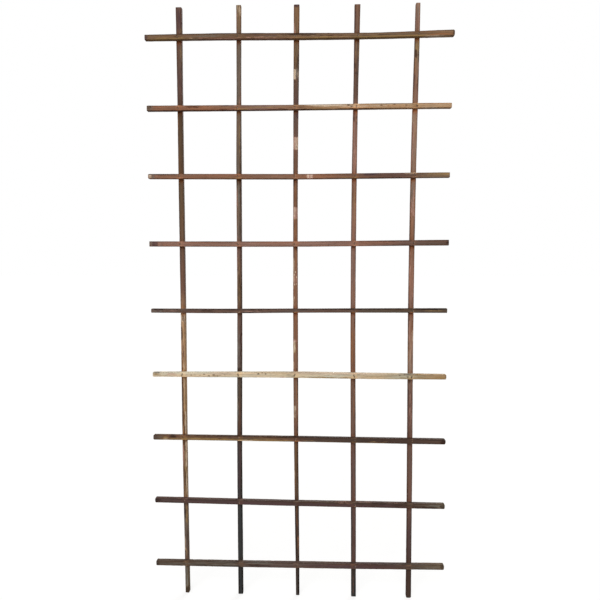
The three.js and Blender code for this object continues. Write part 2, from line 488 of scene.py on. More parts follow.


# %% The marks of each rung
# The long dark marks along the lowest share of rung_2 and rung_3 are painted shade: the undersides of the
# upper rungs, which get little light.
marks = read_marks("""
rung_1
dark 0 6 0.8 1.3 0.6, 0.85 1.05 -0.4 0.4 0.5, 2.25 2.45 0.2 0.9 0.42, 2.8 3.35 0 1.2 0.75
dark 3.3 3.8 -0.3 0.3 0.42, 4.35 4.6 -0.3 0.3 0.42, 4.92 5.12 -0.2 0.6 0.42, 5.95 6.1 -1.2 1.2 0.6
pale 1.2 1.36 -1.3 -0.6 0.42, 5.2 5.95 -1.7 -0.7 0.6
gold 0.1 1.3 -1.7 -0.3 0.75, 1.95 2.2 -1.7 -0.3 0.6, 2.8 5.9 -1.7 -0.25 0.85
red 3.5 3.7 -0.2 0.4 0.45, 3.7 4 -1.2 -0.5 0.3, 4.6 4.95 0.3 1 0.4
grey 1.1 1.9 -0.3 0.5 0.25
pink 1.05 3 -1.7 -0.5 0.5, 3.6 3.95 -1.3 -0.5 0.4
plum -0.05 0.09 -1.2 1.2 0.6, 0.3 3 0.72 1.3 0.7, 2.1 2.7 -0.1 0.6 0.3, 2.8 3.3 0.2 1.2 0.5
amber 5.25 6 -1.4 0 0.6
rung_2
dark 0.1 2.9 -1.3 -0.85 0.6, 1.12 1.36 -0.2 1.2 0.5, 1.65 1.9 0.5 1.3 0.45, 1.68 1.86 -1.3 -0.5 0.55
dark 2.6 2.86 -1.3 -0.5 0.55, 2.9 3.28 -1.3 -0.72 0.85, 2.96 3.02 -0.1 0.2 0.7, 2.98 3.2 -0.5 0.3 0.5
dark 3.28 3.65 -1.3 -1 0.8, 3.63 3.8 -1.3 -0.5 0.5, 3.65 4.4 -1.3 -0.75 0.85, 4.3 5.2 -1.3 -1 0.6
dark 4.4 4.44 0.1 0.5 0.8, 4.52 4.55 -0.3 0.1 0.7, 4.62 4.66 0.4 0.8 0.8, 4.82 4.86 0 0.4 0.8
dark 4.93 5.06 -1.2 1.2 0.38, 5.02 5.05 -0.2 0.3 0.8
pale 3.2 3.85 0.2 1.3 0.9, 3.7 4.25 -0.3 1.3 0.4, 4.1 4.6 -0.3 0.7 0.35, 5.1 5.6 -1.3 -0.5 0.44
iron 0.03 0.06 0 0.8 0.8, 0.05 0.1 -0.5 -0.2 0.6, 0.09 0.14 0.2 0.8 0.8, 3.85 3.89 0.3 0.8 1
iron 3.9 3.94 -0.2 0.25 1, 3.99 4.02 0 0.4 0.7
gold 1.6 2.9 -0.2 0.3 0.45, 1.95 2.2 -1.3 -0.5 0.55, 3.25 3.5 -1.3 -0.6 0.5, 5.2 5.65 -1.3 -0.45 0.6
grey 0 0.2 -0.6 0.9 0.35, 4.3 4.95 0.6 1.3 0.4
amber 2.85 3.3 -0.3 0.4 0.4, 3.3 4 -0.7 -0.4 0.4
rung_3
dark 0.1 6 -1.3 -0.88 0.4, 0.15 1 0.4 1.3 0.6, 4.15 4.9 -1.3 -0.5 0.5
pale 0 0.12 -0.8 0.9 0.5, 4.85 5.05 0.35 1.1 0.42
gold 1.8 2.1 -1.3 -0.3 0.5, 3.7 4.08 -1.3 -0.35 0.5, 5.3 6.1 -0.4 1.2 0.55
grey 0.1 0.22 -1.2 1.2 0.45
pink 0.18 0.4 -0.4 0.8 0.3
plum 4.1 4.4 0.1 1.2 0.6
rung_4
dark 1.1 1.95 -1.3 -0.6 0.6, 1.1 1.95 0.7 1.3 0.5, 4.2 5 0.4 1.3 0.35, 4.35 4.9 -1.3 -0.6 0.4
dark 5.93 6.1 -1.2 1.2 0.6
grey 0 0.25 -1 1 0.4, 0.3 0.42 -0.9 0.2 0.4
pink 0.28 0.36 -0.8 0.8 0.4
amber 2.92 3.05 -0.6 0.6 0.5, 5.1 5.9 -1.3 -0.9 0.5
rung_5
dark 0.05 0.42 0.3 1.3 0.7, 0.9 3.9 0.45 1.3 0.45, 1.3 1.6 -1.2 1.2 0.4, 1.65 1.9 -1.3 -0.6 0.45
dark 2.05 2.3 -1.3 -0.5 0.6, 3.3 5 0.35 1.3 0.7, 4.95 5.95 0.3 1.3 0.8, 5.1 5.6 -1.2 -0.4 0.36
gold 5.35 5.95 -0.5 0.3 0.4
red 0.9 1.9 -1 -0.4 0.35, 3.1 3.7 -0.5 0.1 0.35, 3.92 4.08 -0.6 1 0.5
grey 0 0.42 -1 1 0.5
pink 0.45 1 -0.5 0.3 0.36, 2.1 2.4 -0.35 0.4 0.3
plum 0.15 0.3 -0.5 0.7 0.5
amber 2.92 3.08 -1.35 -0.75 1, 3.93 4.07 -1.35 -0.75 0.9, 4.94 5.06 -1.35 -0.75 0.9
rung_6
dark 1.13 1.17 -0.4 0.1 0.8, 1.28 1.32 -0.5 0 0.45, 1.36 1.39 0 0.4 0.9, 1.52 1.57 -0.4 0.2 1
dark 1.6 1.63 -0.7 -0.3 0.9, 1.64 1.67 -0.3 0.1 0.4, 1.72 1.76 -0.2 0.3 0.45, 2.39 2.42 0.5 0.9 0.9
dark 2.45 2.48 0.1 0.6 0.9, 4.77 4.81 0.3 0.8 0.9, 4.86 4.9 0.5 0.9 0.8, 4.91 4.95 -0.3 0.2 0.8
dark 5.95 6.06 -1.2 1.2 0.42
pale 0.98 1.05 -0.5 0.7 0.35, 1.5 1.95 -0.2 1.2 0.85, 2.85 3.7 0.35 1.4 1, 2.9 4.5 0.4 1.4 0.9
pale 4.06 4.12 -0.7 -0.1 0.8
iron 1.44 1.48 -0.6 -0.1 0.9, 2.32 2.35 0.2 0.7 1
gold 0 0.26 -0.9 0.9 0.4, 1.5 1.66 -0.7 0.2 0.4, 2.95 3.08 -0.9 -0.5 0.5, 3.1 3.95 -1.3 -0.45 0.6
gold 3.4 3.75 -1.3 -0.4 0.45, 4.6 5.9 -1.3 -0.2 0.42, 4.95 5.3 0.2 1.3 0.5, 5.55 6 -1.3 0.2 0.55
grey -0.02 0.26 0.4 1.3 0.7, 0.35 0.95 0.78 1.3 0.3, 1 2.2 -1.3 -0.8 0.5, 2.83 2.97 -1 0.2 0.38
grey 4.75 5.1 0.3 1.3 0.5
pink 0.45 0.82 -0.8 0.9 0.38, 2.72 2.8 -0.9 -0.5 0.35
rung_7
dark 0.52 0.74 -0.1 1.3 0.9, 0.9 4 0.75 1.3 0.6, 2.5 2.9 0.4 1.3 0.42, 5.85 6.1 -1.2 1.2 0.6
pale 0.34 0.5 -1.3 -0.3 0.75, 0.75 0.95 -1.3 -0.5 0.45, 1.95 2.25 -1.3 -0.4 0.42
iron 0.54 0.76 0.15 1.1 0.4, 0.99 1.01 -0.9 -0.5 0.6
gold 0.2 2.2 -1.5 0 1, 0.3 0.5 -1.3 0.3 0.9, 0.97 1.08 -1 0.4 0.5, 2 2.9 -1.6 -0.2 1
gold 3 3.8 -1.5 -0.3 0.38, 3.95 4.1 -1 -0.3 0.3, 4.1 4.6 -1.4 -0.3 0.5
red 0.48 0.8 0 1.1 0.8, 2.7 3.2 -0.5 0.6 0.2
grey -0.1 0.3 -0.6 0.8 0.35
plum -0.1 0.18 -1.2 1.2 0.4, 0.9 2.9 0.5 1.3 0.4
amber 2.95 3.1 -1.2 -0.6 1
rung_8
dark -0.2 0.2 -1.2 1.2 0.5, 4.3 4.6 0.4 1.3 0.36, 4.7 5.2 -0.3 0.6 0.4, 5.03 5.14 -0.6 0.6 0.42
dark 5.15 5.55 -1.3 0.2 0.5, 5.5 5.8 -1.3 0.1 0.55, 5.88 6.1 -1.2 1.2 0.6
grey 0.8 6 0.85 1.3 0.25, 5.5 5.9 0 1 0.4
pink 0.74 0.9 0.4 1.2 0.2, 3.7 4 0.3 1.1 0.34, 4 5 0.88 1.3 0.25
plum 0.9 5 -0.9 0.6 0.5
rung_9
dark -0.1 0.1 -1.2 1.2 0.6, 0.2 6 -1.3 -0.88 0.4, 0.2 6 0.9 1.3 0.35, 1.15 1.4 -1.2 0.2 0.42
dark 1.5 2.05 -1.3 -0.4 0.6, 2.1 2.55 -0.5 0.3 0.6, 5.88 6.1 -1.2 1.2 0.6
grey 0.1 1.9 -0.6 0.4 0.3, 1.1 1.4 0.4 1.1 0.42, 1.4 1.95 0.4 1.1 0.5, 2.1 2.6 0.5 1.2 0.62
grey 5.2 5.9 -0.5 0.3 0.25
plum 2.9 4.9 -0.8 0.7 0.5
""")
print(sum(len(laid) for laid in marks.values()), "marks on the rungs")

# %% The marks of each upright
marks |= read_marks("""
upright_1
dark 3.4 3.95 -1.3 -0.6 0.35, 4.2 4.7 -1.3 -0.5 0.38, 5.08 5.17 -0.3 0.25 0.9, 5.1 5.4 0.5 0.8 0.6
dark 5.27 5.46 -1.3 -0.12 1, 5.6 5.98 -1.3 -0.25 0.68, 5.94 6.05 0.4 1.2 0.5, 6.02 6.68 -1.3 -0.13 1
dark 6.15 6.5 0.4 0.75 0.6, 6.25 6.6 -1.3 0 0.9, 6.45 6.95 -0.2 0.2 0.42, 6.5 6.85 -1.3 -0.08 1
dark 6.82 7 -0.3 0.3 0.75, 7.03 7.12 -1.2 0.3 0.45, 7.06 7.25 -0.15 0.25 0.8
dark 7.3 7.85 -0.6 -0.15 0.5 0.5, 7.45 7.95 -1.3 -0.6 0.38, 7.55 7.8 -0.3 0.3 0.7, 8 8.3 -1.3 0.05 1
dark 8.48 8.78 0.1 0.9 0.45, 9.2 9.8 -1.3 -0.55 0.5, 9.8 10.1 -1.2 1.2 0.8
pale 5.02 5.2 -1.2 -0.4 0.9, 5.03 5.25 0.2 1.1 0.45, 5.8 5.93 0 0.5 0.42, 6.05 6.2 -0.3 0.3 0.6
pale 6.1 6.4 -0.1 0.15 0.42, 6.6 6.97 0.3 1.2 0.6, 7.06 7.22 0.35 1.2 0.9, 7.22 7.52 0.4 1.2 0.6
pale 7.42 7.97 0.4 1.2 0.6, 8.6 8.85 -1.2 -0.5 0.42
iron 5.93 5.97 0.45 0.8 0.6, 6.15 6.6 -1.3 -0.3 0.45, 7.82 7.86 -0.7 -0.3 0.6
gold 0.65 0.85 0.4 1.2 0.5, 1.1 1.35 0.4 1.2 0.45, 5.95 7 -0.2 1.3 0.36, 7.05 7.97 0.1 1.3 0.8
gold 8.05 8.45 0 1 0.5, 8.78 8.97 -0.4 0.5 0.45, 9.25 9.5 -0.3 0.2 0.45
red 5.42 5.86 -0.3 0.1 0.9 1.3
grey 9.1 9.9 -0.4 0.3 0.7
pink 7.12 7.45 -1.2 -0.4 0.8
plum 0 0.75 -1.2 1.2 0.42, 1.45 1.98 -1.2 1.2 0.4
amber 2.1 2.9 -1.2 -0.6 0.3
upright_2
dark 2.05 8.9 0.5 1.3 0.55, 2.4 3.95 0.3 1.3 0.6, 3.02 3.16 -1.2 0.4 0.42, 3.5 3.9 0.15 0.8 0.5
dark 4.45 4.65 -0.3 0.2 0.45, 5.1 5.8 0.3 1.3 0.6, 9.05 10.1 -1.4 -0.5 1, 9.05 10.1 0.5 1.4 1
pale 0 0.25 -0.6 0.7 0.3, 0.1 0.35 0.3 1.2 0.5, 4.36 4.64 -1.3 -0.5 0.42, 6.3 6.55 -1.3 -0.5 0.38
iron 0.22 0.26 -0.8 -0.2 0.5
gold 2.2 2.95 0.1 0.5 0.5, 4.2 4.9 -0.5 0.2 0.3
red 3.5 3.95 -1.2 -0.5 0.3, 6.2 6.9 -0.5 0.7 0.25
grey 3.1 3.5 -0.4 0.5 0.4, 5.2 6.3 -1.3 -0.5 0.42, 5.3 5.9 -0.4 0.4 0.3, 6.15 6.75 -1.3 -0.35 0.75
pink 0.15 0.9 -1.2 -0.4 0.45, 1.75 2 0.4 1.2 0.5, 3.15 3.45 -1.2 -0.3 0.5, 3.3 4.95 -1.3 -0.5 0.41
plum 0.9 1.12 -1.2 1.2 0.4, 7.1 7.9 -0.8 0.9 0.4
upright_3
dark 1.24 1.45 0.15 1.3 0.6, 2.08 2.36 -1.3 -0.55 0.45, 2.66 2.98 -1.3 -0.4 0.45
dark 2.84 2.98 -1.3 -0.3 0.5, 3.03 3.15 -1.2 -0.4 0.5, 3.68 3.8 -1.3 -0.4 0.45, 4.02 4.12 0.4 1.2 0.5
dark 5.98 6.4 0.45 1.3 0.42, 6.68 7.75 0.35 1.3 0.55, 7.05 7.2 0.3 1.3 0.5, 7.5 7.75 0.5 1.3 0.5
dark 8.04 8.2 0.4 1.3 0.5, 8.05 9 -1.3 -0.4 0.9, 9.1 10.1 0.35 1.3 1, 9.7 10.1 0.4 1.3 0.7
pale 1.47 1.57 0.3 1.3 0.5, 4.15 4.66 -1.2 -0.45 0.42, 4.8 4.95 -1.2 -0.4 0.5, 5.8 5.93 -1.2 -0.4 0.5
pale 7.5 7.66 -1.3 -0.6 0.55
iron 1.62 1.64 -0.9 0.2 0.4, 2.55 2.58 0.2 0.6 0.5
gold 1.1 1.4 -0.8 0.4 0.3
red 6.75 6.95 -0.8 0.9 0.5, 8.15 8.6 -0.8 -0.3 0.42
grey 1.44 1.6 -0.1 1.3 0.45
pink 0.6 0.95 -1.2 -0.4 0.5, 4.44 4.62 -1.2 0.8 0.5, 4.5 4.65 -0.3 0.3 0.5
plum -0.05 0.09 -1.2 1.2 0.7, 1.7 1.97 -0.6 0.9 0.3, 2.05 2.15 0.1 1.2 0.5
amber 3.1 3.4 -0.5 0.6 0.5, 3.68 3.95 -0.6 0.3 0.35, 4.1 4.35 -0.4 0.4 0.4, 5.1 5.4 -0.8 0 0.3
amber 6.1 6.45 0.1 0.9 0.4, 7.1 7.9 -1.2 -0.4 0.4, 8.05 8.4 -0.4 0.5 0.38, 8.2 8.95 -1.3 -0.5 0.45
amber 8.5 8.95 0.3 1 0.42
upright_4
dark 1.36 1.46 -1.2 -0.3 0.45, 2.02 2.2 -1.3 -0.25 0.6, 2.12 2.17 0.2 0.8 0.7, 2.2 2.25 0.5 1.1 0.6
dark 2.28 2.31 0.3 0.7 0.5, 2.8 3.2 0.5 1.3 0.36, 2.84 2.98 0.35 1.3 0.55, 3.3 4.9 0.75 1.3 0.4
dark 5.06 5.35 0.4 1.3 0.45, 6.03 6.2 0.2 1.3 0.5, 6.2 7.95 0.5 1.3 0.5, 8.05 8.95 -1.3 -0.55 0.52
dark 9.5 10.1 0.4 1.3 0.6
iron 1.5 1.53 -1 0.8 0.55
gold 1.1 1.35 0.4 1.2 0.5, 1.1 1.5 -0.7 0.2 0.2, 3.2 3.9 -0.3 0.4 0.25
red 9.1 10 -0.3 0.1 0.3
pink 2.4 2.95 -0.7 0.6 0.3
plum 0 0.9 -1.2 -0.5 0.5, 7.1 7.9 -0.9 -0.1 0.35
amber 0.5 0.9 0.4 1 0.3, 2.03 2.25 -0.2 0.9 0.5, 4.1 4.9 -0.2 0.4 0.3, 5.3 5.8 -0.6 0.1 0.4
amber 6.2 6.9 0 0.4 0.35
upright_5
dark 1.2 1.35 0.5 1.2 0.6, 1.22 1.31 -0.9 0.2 0.75, 1.5 1.8 0.5 1.3 0.62, 4.8 4.96 -0.1 1.2 0.38
dark 5.6 6.05 0.2 1.3 0.4, 6.02 6.14 -1.2 1.2 0.3, 6.03 6.12 -0.9 1.1 0.36, 6.82 6.98 -1.3 -0.35 0.5
pale 2.1 2.25 -1.2 -0.4 0.5, 5.28 5.48 0.4 1.2 0.5
gold 1.08 1.25 -0.9 0.9 0.5, 1.2 1.35 -0.3 0.2 0.5, 1.24 1.29 -0.2 0.2 0.6, 2.05 2.4 -0.6 0.6 0.3
red 7.2 7.9 0.2 0.8 0.35
grey 0.1 0.9 -0.6 0.6 0.35, 3.1 3.5 -1 0.3 0.3
pink 1.4 1.9 0.4 1 0.4, 2.1 2.8 -1.2 -0.3 0.62, 3.2 3.58 -0.1 0.3 0.6, 3.35 3.65 -1.2 -0.4 0.5
pink 3.45 3.62 0.5 1.2 0.4, 4.05 4.65 -1.2 -0.45 0.48, 4.2 4.9 0.2 0.7 0.3, 5.15 5.5 -1 -0.3 0.5
pink 5.28 5.48 0.35 1.2 0.6, 6.2 6.9 -0.3 0.5 0.38
plum 1.56 1.75 -1.2 -0.4 0.6, 1.7 1.95 -0.1 0.8 0.42, 6.1 6.9 -1 -0.3 0.35, 8.2 8.9 -0.9 0.3 0.35
""")
print(sum(len(laid) for laid in marks.values()), "marks in all")

# %% Patches, knots and worn ends
patches = read_marks("""
rung_1
pale 5.535 5.552 -0.8 0.9 0.5
rung_3
pale 3.19 3.22 -0.7 0.9 0.5, 3.24 3.27 -0.7 0.9 0.5
pink 3.18 3.285 -1.4 1.4 0.85
rung_4
plum 0.09 0.27 -1 1.1 0.5
upright_1
dark 5.9 5.96 -1.3 -0.2 0.5, 6.15 6.24 -1.3 -0.55 0.5
upright_2
dark 5.9 5.96 -1.4 1.4 0.5
upright_3
dark 5.9 5.96 0.1 1.4 0.5
pale 1.45 1.59 -1.5 -0.15 0.85, 2.42 2.603 -1.5 1.5 0.38, 2.53 2.598 -0.3 1.3 0.55
pale 3.455 3.6 -1.5 1.5 0.34, 4.41 4.44 -0.3 0.2 0.8, 4.45 4.48 -0.6 -0.2 0.6, 4.49 4.52 0.3 0.7 0.7
pale 4.59 4.62 0.3 0.6 0.6, 4.6 4.63 -0.5 -0.1 0.8, 5.475 5.66 -1.4 0.1 0.44, 6.49 6.57 -0.9 0.1 0.6
pale 6.49 6.68 -1.4 -0.2 0.56
gold 3.61 3.64 -1.4 1.4 0.6, 5.5 5.67 -1.4 0.1 0.8
pink 2.42 2.603 -1.5 1.5 1, 3.455 3.625 -1.5 1.5 1, 5.46 5.5 -1.4 0.5 0.9
upright_5
dark 1.2 1.285 -0.9 -0.05 0.9, 1.26 1.285 -1.1 0.8 0.6
""")
# A knot's crossing count, and how far it lies off the middle as a share of the half width.
knots = {
    "rung_2": [(3.86, 0.45), (4.02, 0.3)], "rung_6": [(2.42, 0.3)], "rung_7": [(0.5, 0.4)],
    "upright_4": [(1.51, 0.0)], "upright_5": [(1.27, 0.0)],
}
# How far the first and last end of a stick are worn round, in millimetres.
worn_ends = {
    "rung_1": (1.0, 3.4), "rung_2": (1.0, 2.2), "rung_3": (3.0, 1.2), "rung_5": (1.6, 1.4),
    "rung_6": (1.4, 3.2), "rung_7": (2.2, 4.4), "rung_8": (2.8, 3.4), "rung_9": (2.2, 3.4),
    "upright_1": (1.0, 2.4), "upright_3": (1.6, 1.0), "upright_5": (1.2, 3.2),
}
hardly_worn = (0.6, 0.6)
# One rung is pale sapwood: its corners and its painted side shade are darkened much less, its painted
# highlight at the crossings is weaker, and it shows rust more.
sapwood_rung = "rung_6"
print(sum(len(laid) for laid in patches.values()), "patches and",
      sum(len(laid) for laid in knots.values()), "knots")

# %% Turn marks into weights on the mesh
def mark_weights(name, count, share, out, ragged):
    """One column of weights for each stain, at every point of a stick."""
    weights = np.zeros((*share.shape, len(stain_names)))
    front = soft_step(out / half_depth * 1.5 + 1.2)
    # A mark is a blurred oval, and a patch is nearly a rectangle.
    for laid, squareness, blur in ((marks, 2.2, 0.8), (patches, 7, 0.2)):
        for stain, first, last, low, high, strength, *lean in laid.get(name, []):
            past_middle = count - (first + last) / 2
            here = np.abs(past_middle) / ((last - first) / 2)
            line = (low + high) / 2 + sum(lean) * past_middle[:, None]
            there = np.abs(share - line) / ((high - low) / 2)
            away = (here[:, None] ** squareness + there ** squareness) ** (1 / squareness)
            weight = soft_step((1 - away - ragged * blur) / blur + 0.5) * front * strength
            column = weights[:, :, stain_names.index(stain)]
            np.maximum(column, weight, out=column)
    return weights


def rust_and_glint_marks(name, weights, along, across):
    """Iron turns redwood black, so each crown has a dark edge; beside it, on its right, a pale mark of
    crushed wood doubles as a painted glint.
    """
    strength, reach = (1.0, 2.1 * mm) if name == sapwood_rung else (0.6, 1.6 * mm)
    for start, way in crowns_on(name):
        away, right = from_crown(start, way, along, across)
        # Painted glint: a pale band just outside the dark edge, on the crown's right side only.
        pale = 0.45 * strength * hump(away - reach - 1.3 * mm, 0.9 * mm) * (right > -0.2)
        for stain, weight in (("iron", strength * hump(away, reach)), ("pale", pale)):
            column = weights[:, :, stain_names.index(stain)]
            np.maximum(column, weight, out=column)


# %% [markdown]
# ## Painted light and shade at each crossing
#
# Under a rung the upright gets a painted warm lift near the top of the trellis, which stands in for
# light bounced into the shadow there, and painted shadow near the foot. Over each rung it gets painted
# shade near the top and a warmer tint near the foot. A rung's own face is a little warmer where it's
# nailed, with a painted highlight along its edges there. Each is a tint that the finish multiplies the
# tone by, so it's worked out here, where the crossings are known.

# %% Tint the wood at each crossing, with painted light and shade
nailed_face = np.array([1.09, 1.0, 0.89])
# Under a rung and on the ledge over it, at the top of the trellis and at its foot. Under a rung:
# painted warm bounce light at the top and painted shadow at the foot; over it: painted shade at the
# top and a warmer tint at the foot.
under_top, under_foot = np.array([2.3, 1.4, 0.72]), np.array([0.53, 0.56, 0.64])
ledge_top, ledge_foot = np.array([0.80, 0.70, 0.56]), np.array([1.12, 0.97, 0.86])


def rung_light_and_shade(name, past, share):
    """How near each station of a rung is to a crossing, and the tint there: warmer, with a painted highlight
    towards the edges.
    """
    # The top rung gets hardly any of this warmth and painted highlight.
    near = np.exp(-((past / (9 * mm)) ** 4)) * (0.1 if name == "rung_1" else 1)
    off_middle = np.clip(np.abs(share), 0, 1)[..., None]
    # Painted highlight: near a crossing, a rung's face is lighter towards its edges.
    edge_highlight = 0.12 if name == sapwood_rung else 0.28
    return near, nailed_face * (1 + edge_highlight * off_middle)


def upright_light_and_shade(past, down):
    """The same for an upright, where down goes from 0 at the top rung to 1 at the lowest."""
    near = np.exp(-((past / np.where(past > 0, 16 * mm, 15 * mm)) ** 4))
    # Painted light and shade: a warm lift under a rung near the top and painted shadow under it near the
    # foot; painted shade over it near the top.
    under = under_top * (1 - down) + under_foot * down
    ledge = ledge_top * (1 - down) + ledge_foot * down
    below = soft_step(past / (8 * mm) + 0.5)[:, None]
    return near, (ledge + (under - ledge) * below)[:, None]


def crossing_light_and_shade(name, along, share, out):
    """How near each station is to a crossing, and the tint of every point, 1 being none: painted light and
    shade, and a warmer rung face.
    """
    places = crossing_places(name)[1:-1]
    past = along[:, None] - places[None]
    which = np.abs(past).argmin(1)
    past = past[np.arange(len(along)), which]
    if name in rungs:
        near, tint = rung_light_and_shade(name, past, share)
    else:
        near, tint = upright_light_and_shade(past, (which / (len(places) - 1))[:, None])
    front = soft_step(out / half_depth * 0.8 + 0.4)[..., None]
    return near, 1 + near[:, None, None] * (tint - 1) * front


# %% [markdown]
# ## Build a stick
#
# The stations lie two millimetres apart, and closer where a staple dents the wood. At each one
# the outline is drawn, pushed in or out by the roughness, and set at its place. Rows of points
# joined into faces make the sides, and rings that shrink to the middle close each sawn end.
#
# A stick is about a hundred times as long as it is thick, so a picture of its surface would be
# one thin line. Its picture map is folded into strips that lie side by side, like a ruler
# folded up, so that a baked picture keeps the grain sharp.

# %% Stations along a stick
station_gap, least_gap, end_gap = 2 * mm, 0.12 * mm, 0.6 * mm
near_end = np.array([0, 0.15, 0.35, 0.6, 1.1, 1.7, 2.4]) * mm
near_crown = np.arange(-3.6, 3.61, 0.45) * mm


def stations(name):
    """Places along a stick, closer together at its ends and at the staples of a rung."""
    length = sticks[name]["length"]
    even = np.linspace(end_gap, length - end_gap, int(length / station_gap))
    crowded = [start[0] + way[0] / 2 + near_crown for start, way in crowns_on(name)]
    places = np.unique(np.round(np.concatenate([even, near_end, length - near_end, *crowded]), 6))
    keep = np.concatenate([[True], np.diff(places) > least_gap])
    return places[keep]


def smoothed(name, key, along):
    """The plain stick's middle or half width at each station, without its kinks."""
    values = np.interp(along, sticks[name]["along"], sticks[name][key])
    reach = 4
    window = np.hanning(2 * reach + 1)
    return np.convolve(np.pad(values, reach, "edge"), window / window.sum(), "valid")


# %% Dents, knots and worn ends
def dent(name, along, across, out):
    """How deep the wood is crushed round each crown, in metres, at points on a rung's face."""
    depth = np.zeros(across.shape)
    for start, way in crowns_on(name):
        away, _ = from_crown(start, way, along, across)
        crushed = 0.95 * mm * hump(away, 1.05 * mm)
        lip = 0.10 * mm * hump(away - 2.2 * mm, 0.6 * mm)
        depth += (crushed - lip) * (out > 0.9 * half_depth)
    return depth


def knot_height(name, along, across, out):
    """How far each knot stands up, and the wood round it sinks, in metres."""
    height = np.zeros(across.shape)
    for place, aside in knots.get(name, []):
        spot = np.interp(place, np.arange(len(crossing_places(name))), crossing_places(name))
        away = np.hypot((along - spot)[:, None] / 1.5, across - aside * half_depth)
        crater = 0.35 * mm * hump(away - 2.6 * mm, 0.5 * mm)
        height += (0.3 * mm * hump(away, 2.2 * mm) - crater) * (out > 0.9 * half_depth)
    return height


def wear_ends(name, along, across, out):
    """Rounds both ends over in place, some hardly and some by a few millimetres."""
    most_off_face = 0.6 * mm
    for to_end, worn in zip((along, along[-1] - along), worn_ends.get(name, hardly_worn)):
        left = np.clip(1 - to_end / (worn * mm), 0, 1)
        eased_in = (worn * mm * (1 - np.sqrt(1 - left ** 2)))[:, None]
        across -= eased_in * across / half_depth
        out -= np.minimum(eased_in, most_off_face) * out / half_depth


# %% Points of a stick
shrinks = (0.93, 0.8, 0.62, 0.42, 0.2)
end_roughness = 0.16 * mm


def end_rings(seed, along, across, out):
    """Rings inside both ends: each is the last outline, smaller, and a little rough."""
    rings = []
    for end, inward in ((0, 1), (-1, -1)):
        for step, shrink in enumerate(shrinks):
            wobble = end_roughness * chance((seed, 30 + step, end + 1), np.zeros(1), 1, 24, around)
            place = along[end] + inward * (0.05 * mm + np.abs(wobble))
            rings.append((place, across[end][None] * shrink, out[end][None] * shrink))
    return rings


def rows_of_ends(count):
    """For each end of a stick with this many stations, its row of points and then its rings."""
    rings = len(shrinks)
    return [0, *range(count, count + rings)], [count - 1, *range(count + rings, count + 2 * rings)]


def stick_points(seed, along, across, out):
    """Every point in the stick's three directions: its sides, its rings, and two centres."""
    sides = (along[:, None] * np.ones_like(across), across, out)
    rows = [np.vstack(part) for part in zip(sides, *end_rings(seed, along, across, out))]
    points = np.stack(rows, -1)
    centres = [points[end[-1]].mean(0) for end in rows_of_ends(len(along))]
    return np.vstack([points.reshape(-1, 3), centres])


def into_frame(name, points, bow):
    """From a stick's own three directions into the frame's."""
    read = sticks[name]
    deep, cross = read["depth"] - points[:, 2], bow + points[:, 1]
    if name in rungs:
        return np.stack([read["start"] + points[:, 0], deep, cross], 1)
    return np.stack([cross, deep, read["start"] - points[:, 0]], 1)


# %% Faces of a stick
def tube_faces(rows, columns):
    """The four-sided faces of a tube whose points lie in rows round it."""
    row = np.arange(rows - 1)[:, None] * columns
    here = (row + np.arange(columns)).ravel()
    beside = (row + (np.arange(columns) + 1) % columns).ravel()
    corners = np.stack([here, beside, beside + columns, here + columns], 1)
    return [tuple(face) for face in corners.tolist()]


def end_faces(rows, centre, last_end):
    """The faces that close an end: from ring to ring, and then a fan round the centre."""
    faces = []
    here = np.arange(round_points)
    beside = (here + 1) % round_points
    for outer, inner in zip(rows, rows[1:]):
        o, i = outer * round_points, inner * round_points
        faces += np.stack([o + here, o + beside, i + beside, i + here], 1).tolist()
    ring = rows[-1] * round_points
    faces += [[ring + k, ring + turn, centre] for k, turn in zip(here.tolist(), beside.tolist())]
    return [tuple(face if last_end else face[::-1]) for face in faces]


def smooth_mesh(name, points, faces):
    """A mesh of these points and faces, shaded smooth."""
    mesh = bpy.data.meshes.new(name)
    mesh.from_pydata(points, [], faces)
    mesh.shade_smooth()
    return mesh


# %% Fold the picture map
def fold_map(mesh, points, faces, count):
    """Lays a stick's sides in strips next to each other, and its two ends beside them."""
    length = points[:, 0].max()
    strip_width = girth + 1.2 * mm
    strips = max(2, round(math.sqrt(length / strip_width)))
    per_strip = math.ceil((count - 1) / strips)
    side_faces = (count - 1) * round_points
    station = points[: count * round_points : round_points, 0]
    row, column = np.divmod(np.arange(side_faces), round_points)
    strip = row // per_strip
    rim = np.append(around, 1.0) * girth
    left = strip * strip_width
    x = np.stack([rim[column], rim[column + 1], rim[column + 1], rim[column]], 1) + left[:, None]
    base = station[strip * per_strip]
    y = np.stack([station[row], station[row], station[row + 1], station[row + 1]], 1) - base[:, None]
    spots = [np.stack([x.ravel(), y.ravel()], 1)]
    # The near end's middle lies one half room up, and the far end's above it.
    half_room, far_end = 9 * mm, 28 * mm
    all_strips = strips * strip_width
    for face in faces[side_faces:]:
        at = points[list(face)]
        far = at[:, 0].mean() > length / 2
        spots.append(at[:, 1:] + (all_strips + half_room, far_end if far else half_room))
    spots = np.vstack(spots)
    spots /= (all_strips + 2 * half_room, max(y.max(), far_end + half_room))
    margin = 0.004
    layer = mesh.uv_layers.new(name="OFBake")
    layer.uv.foreach_set("vector", (margin + (1 - 2 * margin) * spots).astype(np.float32).ravel())


# %% What the finish reads
# How much of the corner darkening and the painted side shade the sapwood rung keeps.
sapwood_corner_and_side_shade = 0.08


def with_ends(values, total, at_ends):
    """The values of the sides' points in one list, and one value for all the other points."""
    flat = values.reshape(-1, *values.shape[2:])
    return np.concatenate([flat, np.full((total - len(flat), *flat.shape[1:]), float(at_ends))])


